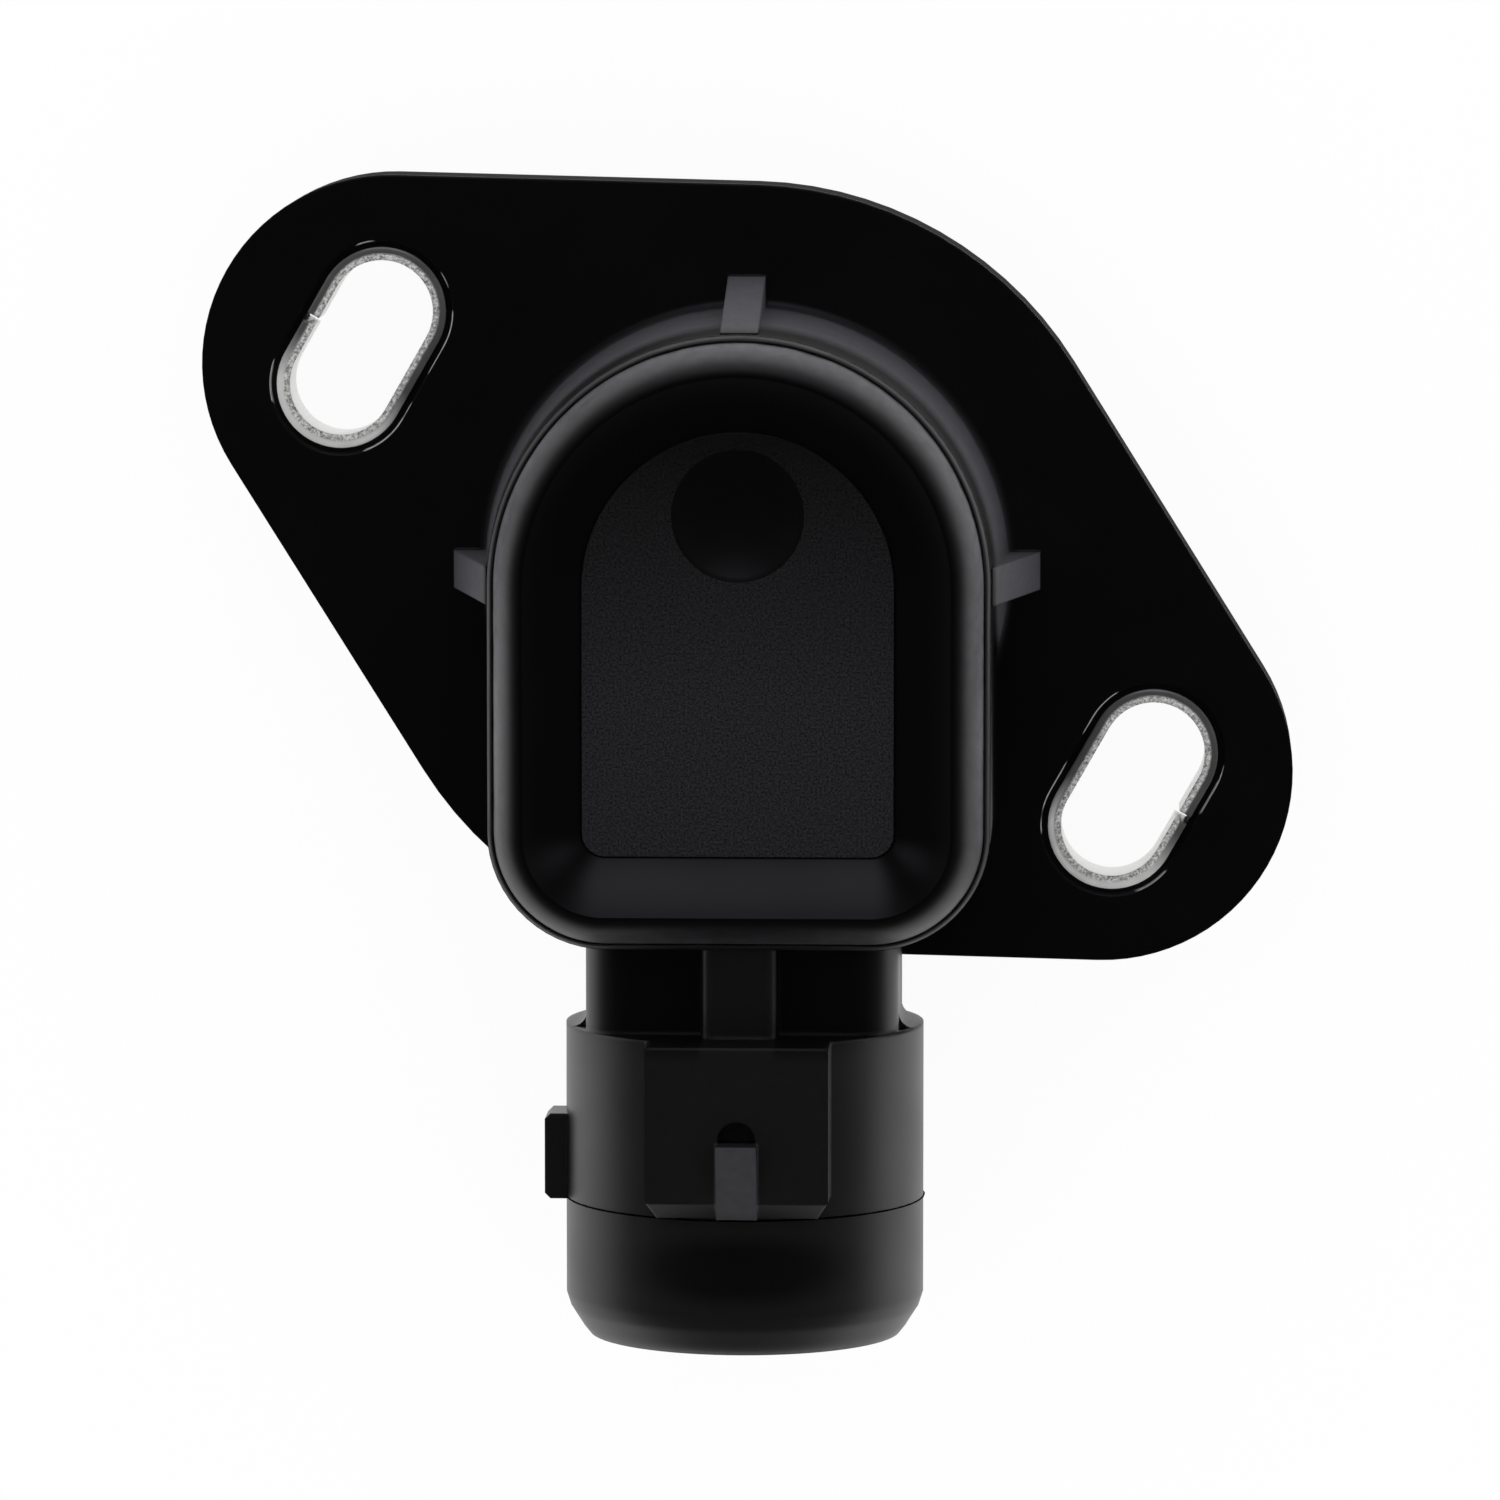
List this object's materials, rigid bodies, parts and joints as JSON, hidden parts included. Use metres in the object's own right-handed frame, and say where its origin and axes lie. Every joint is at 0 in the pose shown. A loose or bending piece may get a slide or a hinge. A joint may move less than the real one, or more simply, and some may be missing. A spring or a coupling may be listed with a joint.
{
  "type": "throttle position sensor",
  "caption": "Black moulded rotary throttle position sensor: slotted two-screw flange, domed front cover, sprung rotor with shaft socket, and a round plug connector pointing down.",
  "frame": {"origin": "on the rotor's axis at the flange's flat back face, where the sensor seats on the throttle body", "axes": "+Z along the rotor's axis away from the throttle body, +X to the right along the picture, and the plug connector points to -Y"},
  "size_m": [0.0588, 0.062, 0.0251],
  "materials": {
    "housing_plastic": "satin black glass-filled polyester",
    "cover_plastic": "satin black polyester, fine grain on the panel",
    "bushing_steel": "rolled and zinc plated",
    "tinned_brass": "tin plated",
    "spring_bronze": "rolled sheet",
    "board": "matte board",
    "resistor_ink": "printed carbon ink",
    "collector_ink": "printed silver ink",
    "rotor_plastic": "natural moulded plastic",
    "spring_steel": "drawn spring steel",
    "washer_plastic": "smooth low-friction plastic",
    "bush_bronze": "sintered bronze",
    "seal_rubber": "black moulded rubber"
  },
  "bodies": {
    "sensor_body": {"housing": "housing_plastic", "front_cover": "cover_plastic", "bushing_left": "bushing_steel", "bushing_right": "bushing_steel", "terminal_left": "tinned_brass", "terminal_center": "tinned_brass", "terminal_right": "tinned_brass", "clip_left": "spring_bronze", "clip_center": "spring_bronze", "clip_right": "spring_bronze", "track_board": "board", "resistor_track": "resistor_ink", "collector_track": "collector_ink", "return_spring": "spring_steel", "thrust_washer": "washer_plastic", "spring_washer": "spring_steel", "bearing_bush": "bush_bronze", "shaft_seal": "seal_rubber", "o_ring": "seal_rubber"},
    "rotor_body": {"rotor": "rotor_plastic", "wiper": "spring_bronze"}
  },
  "joints": [
    {"name": "rotor_turn", "type": "hinge", "parent": "sensor_body", "child": "rotor_body", "pos_m": [0, 0, 0], "axis": [0, 0, 1], "range_deg": [0, 100], "stiffness_Nm_per_rad": 0.003, "springref_deg": -45.84, "deforming": ["return_spring"]}
  ]
}
